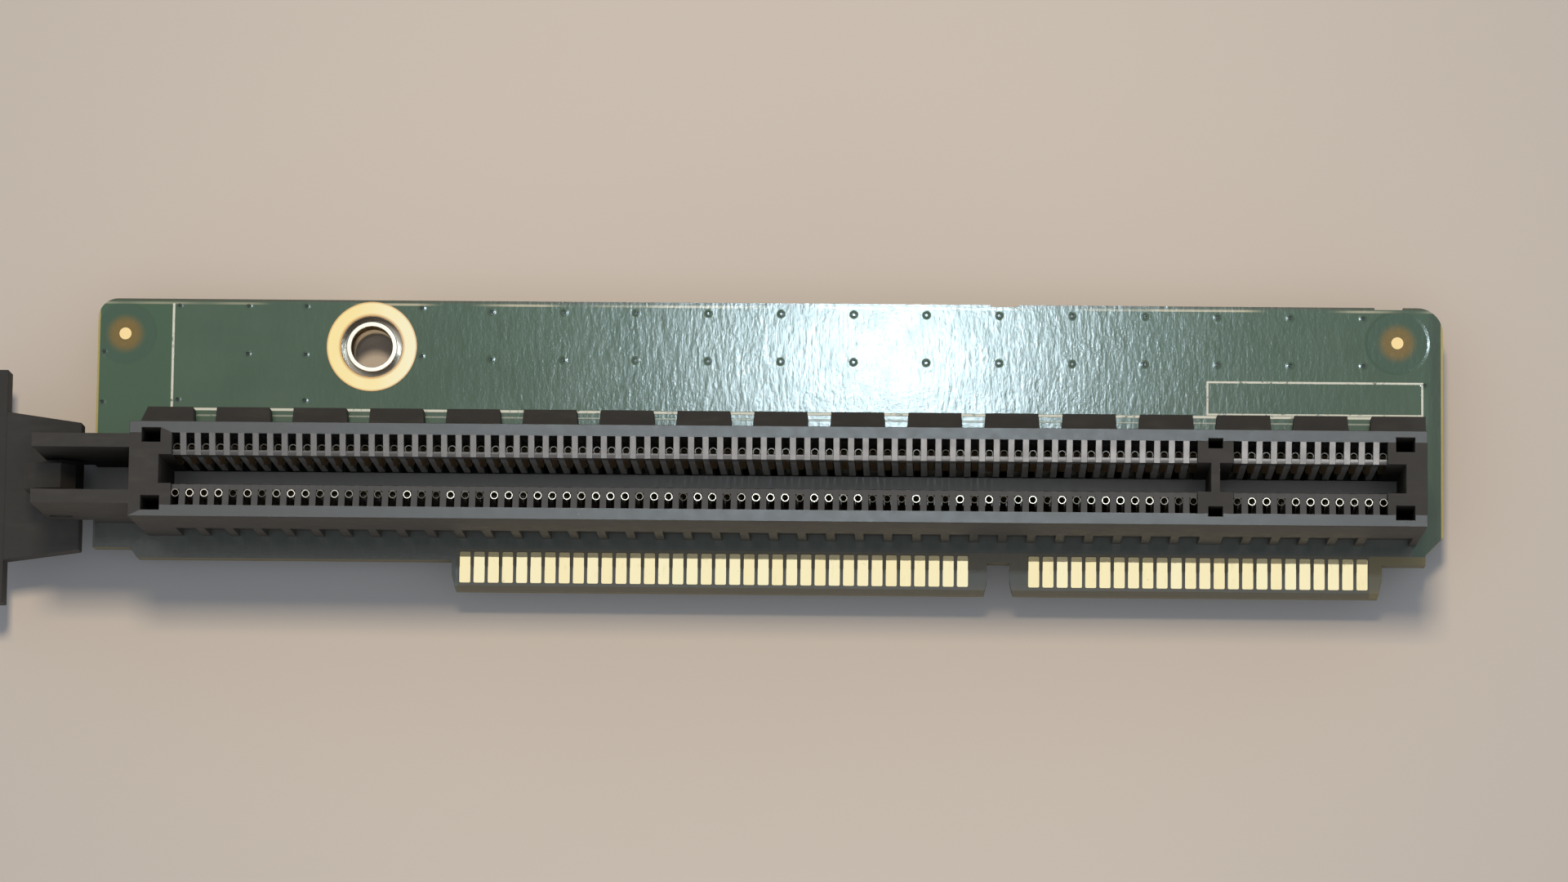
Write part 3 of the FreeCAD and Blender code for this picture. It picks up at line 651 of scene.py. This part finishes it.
def make_arm_floor():
    """The thin floor of the moulding between its two arms, over the board's end.

    A known fault: past the board its end stands 0.42 mm inside the latch's lower part at rest.
    """
    mesh = bmesh.new()
    half, thickness = 1.9 * MM, 0.45 * MM
    past_board, over_board = 1.22 * MM, 3.92 * MM
    front, back = SLOT_Y - half, SLOT_Y + half
    low, high = BOARD_TOP, BOARD_TOP + thickness
    section = [(front, low), (back, low), (back, high), (front, high)]
    add_bar(mesh, board_low.x - past_board, board_low.x + over_board, section)
    face_outwards(mesh)
    soften(mesh, 0.04 * MM)
    # The plate takes the mouth's resin, so it is painted pale grey: painted light standing in for
    # haze.
    add_piece("arm_floor", mesh, mouth_finish, slot="housing_plastic")


def make_latch():
    """The latch's moulding with softened edges, on its own body."""
    mesh = copy_of_node("retention_latch")
    soften(mesh, 0.14 * MM)
    add_piece("latch_moulding", mesh, latch_finish, body="latch", slot="latch_plastic",
              replaces=["retention_latch"])


def make_contact_tips():
    """The curled tip of each contact, which shows as a small ring beside the slot."""
    outer, wall, drop = 0.27 * MM, 0.050 * MM, 0.32 * MM
    section = [(outer - wall, 0), (outer, 0), (outer, -drop), (outer - wall, -drop)]
    right, left = contact_places()
    for row, side, depth in (("front", -1, 0.32 * MM), ("back", 1, 0.95 * MM)):
        ring = turn(section, steps=16)
        places = [(x, SLOT_Y + TIP_OFFSET * side, HOUSING_TOP - depth) for x in right + left]
        add_piece(f"contact_tips_{row}", copies(ring, places), tip_finishes[row],
                  slot="contact_metal", smooth=40)


def rise(edge):
    return abs(edge.verts[0].co.z - edge.verts[1].co.z)


def make_fingers():
    """Each edge finger as a thin plate with rounded corners and a soft rim."""
    for face in ("top", "bottom"):
        for run in ("left", "right"):
            node = f"edge_fingers_{face}_{run}"
            low, high = (Vector(corner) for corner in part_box(node))
            count = round((high.x - low.x) / PITCH)
            size = high - low
            size.x -= PITCH * (count - 1)
            plate = bmesh.new()
            bmesh.ops.create_cube(plate, size=1.0, matrix=Matrix.Diagonal(size.to_4d()))
            upright = [edge for edge in plate.edges if rise(edge) > size.z / 2]
            soften(plate, 0.10 * MM, edges=upright, segments=3)
            rims = [edge for edge in plate.edges if rise(edge) < size.z / 4]
            soften(plate, 0.018 * MM, edges=rims)
            middle = (low + high) / 2
            first = low.x + size.x / 2
            places = [(first + PITCH * i, middle.y, middle.z) for i in range(count)]
            add_piece(f"finger_plates_{face}_{run}", copies(plate, places), finger_finish,
                      slot="gold_plating", replaces=[node])


def make_standoff():
    """The turned standoff with its threaded bore, and the plated barrel of the hole round it."""
    foot = standoff_high.x - FIXING_X
    pilot, bevel, edge = 1.8 * MM, 0.12 * MM, 0.04 * MM
    low, high = standoff_low.z, standoff_high.z
    seat = BOARD_UNDER - 0.05 * MM
    profile = [(foot - bevel, low), (foot, low + bevel), (foot, seat - bevel),
               (foot - bevel, seat), (pilot, seat), (pilot, high - edge),
               (pilot - edge, high), (BORE_RADIUS + edge, high)]
    thread_pitch, thread_depth = 0.5 * MM, 0.10 * MM
    turns = int((high - low - 2 * bevel) / thread_pitch)
    for i in range(turns):
        level = high - bevel - thread_pitch * i
        profile += [(BORE_RADIUS, level), (BORE_RADIUS + thread_depth, level - thread_pitch / 2)]
    profile += [(BORE_RADIUS, low + bevel), (BORE_RADIUS + bevel, low)]
    middle = [(FIXING_X, FIXING_Y, 0)]
    add_piece("turned_standoff", copies(turn(profile, steps=96), middle), steel_finish,
              slot="standoff_steel", replaces=["mounting_standoff"])
    outer, inner = FIXING_HOLE_RADIUS, FIXING_HOLE_RADIUS - 0.06 * MM
    sleeve = [(inner, BOARD_UNDER), (outer, BOARD_UNDER), (outer, BOARD_TOP), (inner, BOARD_TOP)]
    add_piece("hole_plating", copies(turn(sleeve, steps=96), middle), barrel_finish,
              slot="gold_plating")


def make_solder_joints():
    """Under the board, a wetted cone of solder round the end of each tail."""
    for row, side in (("front", -1), ("back", 1)):
        low, high = (Vector(corner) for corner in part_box(f"solder_joints_{row}"))
        base, drop = 0.45 * MM, high.z - low.z
        profile = [(0, 0), (base, 0), (base * 0.62, -drop * 0.14), (base * 0.45, -drop * 0.40),
                   (base * 0.36, -drop * 0.75), (base * 0.24, -drop * 0.95), (0, -drop)]
        places = []
        for run in contact_places():
            places += [(x, SLOT_Y + TAIL_OFFSETS[i % 2] * side, high.z) for i, x in enumerate(run)]
        add_piece(f"solder_cones_{row}", copies(turn(profile, steps=8, closed=False), places),
                  solder_finish, slot="solder", replaces=[f"solder_joints_{row}"], smooth=60)


make_housing()
make_ledges()
make_arm_floor()
make_latch()
make_contact_tips()
make_fingers()
make_standoff()
make_solder_joints()


# ---- floor, light and camera -----------------------------------------------------------------

def make_floor():
    """A plain pale floor under the card, painted a little darker far from it as a painted falloff
    of the light.
    """
    s = Shader("pale_floor")
    x, y, _ = s.axes()
    mottle = s.noise(40 * MM, 3.0)
    paper = s.mix(mottle, (0.495, 0.447, 0.398), (0.520, 0.468, 0.420))
    # Painted light: the floor darkens away from the lamps' aim, a painted falloff of the light.
    painted_light_falloff = length(x - board_low.x * 0.25, y - SLOT_Y).ramp(25 * MM, 80 * MM)
    s.set(Base_Color=s.mix(painted_light_falloff * 0.8, paper, (0.420, 0.380, 0.345)))
    s.set(Roughness=0.9, Specular_IOR_Level=0.1)
    mesh = bmesh.new()
    level = Matrix.Translation((0, 0, FLOOR))
    bmesh.ops.create_grid(mesh, x_segments=1, y_segments=1, size=1.5, matrix=level)
    data = bpy.data.meshes.new("floor")
    mesh.to_mesh(data)
    mesh.free()
    floor = bpy.data.objects.new("floor", data)
    bpy.context.scene.collection.objects.link(floor)
    data.materials.append(s.material)


def add_lamp(name, place, target, size, power, colour, gloss_only=True):
    """A lamp that shows only in gloss, or one that lights the surfaces and never shows in gloss."""
    light = bpy.data.lights.new(name, "AREA")
    light.shape = "RECTANGLE"
    light.size, light.size_y = size
    light.energy = power
    light.color = colour
    lamp = bpy.data.objects.new(name, light)
    lamp.location = place
    lamp.rotation_euler = (Vector(target) - Vector(place)).to_track_quat("-Z", "Y").to_euler()
    lamp.visible_glossy = gloss_only
    lamp.visible_diffuse = not gloss_only
    bpy.context.scene.collection.objects.link(lamp)


def make_world():
    """Cool fill from all round; gloss and the view beyond the floor see it pale."""
    world = bpy.data.worlds.new("studio")
    bpy.context.scene.world = world
    world.use_nodes = True
    tree = world.node_tree
    background = tree.nodes["Background"]
    rays = tree.nodes.new("ShaderNodeLightPath")
    seen = tree.nodes.new("ShaderNodeMath")
    seen.operation = "MAXIMUM"
    tree.links.new(rays.outputs["Is Camera Ray"], seen.inputs[0])
    tree.links.new(rays.outputs["Is Glossy Ray"], seen.inputs[1])
    mix = tree.nodes.new("ShaderNodeMix")
    mix.data_type = "RGBA"
    mix.inputs[6].default_value = (0.50, 0.575, 0.685, 1)
    mix.inputs[7].default_value = (0.94, 0.92, 0.89, 1)
    tree.links.new(seen.outputs[0], mix.inputs[0])
    tree.links.new(mix.outputs[2], background.inputs["Color"])


def make_lights():
    """A warm key behind the card lights it; the glare and front lamps show only in its gloss."""
    middle = (-0.016, 0.010, 0)
    mask_middle = (-0.009, 0.017, 0)
    add_lamp("key", (-0.030, 0.202, 0.590), middle, (0.09, 0.09), 2.75, (1.0, 0.83, 0.61),
             gloss_only=False)
    add_lamp("glare", (-0.0120, 0.0866, 0.460), mask_middle, (0.026, 0.016), 0.23,
             (0.72, 0.90, 1.0))
    add_lamp("front", (0.024, -0.236, 0.520), middle, (0.15, 0.12), 0.95, (1.0, 0.97, 0.95))


def make_camera():
    """Nearly straight down, from a little in front of the card and to its right."""
    target = Vector((-15.15 * MM, 10.8 * MM, BOARD_TOP))
    distance = 441.2 * MM
    tilt, side, roll = math.radians(7.8), math.radians(1.53), math.radians(0.68)
    away = Vector((math.tan(side), -math.tan(tilt), 1.0)).normalized()
    right = (-away).cross(Vector((0, 1, 0))).normalized()
    up = right.cross(-away)
    across = right * math.cos(roll) + up * math.sin(roll)
    upwards = up * math.cos(roll) - right * math.sin(roll)
    camera = bpy.data.cameras.new("camera")
    camera.sensor_width = 36.0
    camera.lens = 143.7
    camera.clip_start = 0.01
    holder = bpy.data.objects.new("camera", camera)
    turned = Matrix((across, upwards, away)).transposed().to_4x4()
    holder.matrix_world = Matrix.Translation(target + away * distance) @ turned
    bpy.context.scene.collection.objects.link(holder)
    bpy.context.scene.camera = holder


make_floor()
make_world()
make_lights()
make_camera()
bpy.context.scene.view_settings.view_transform = "Standard"
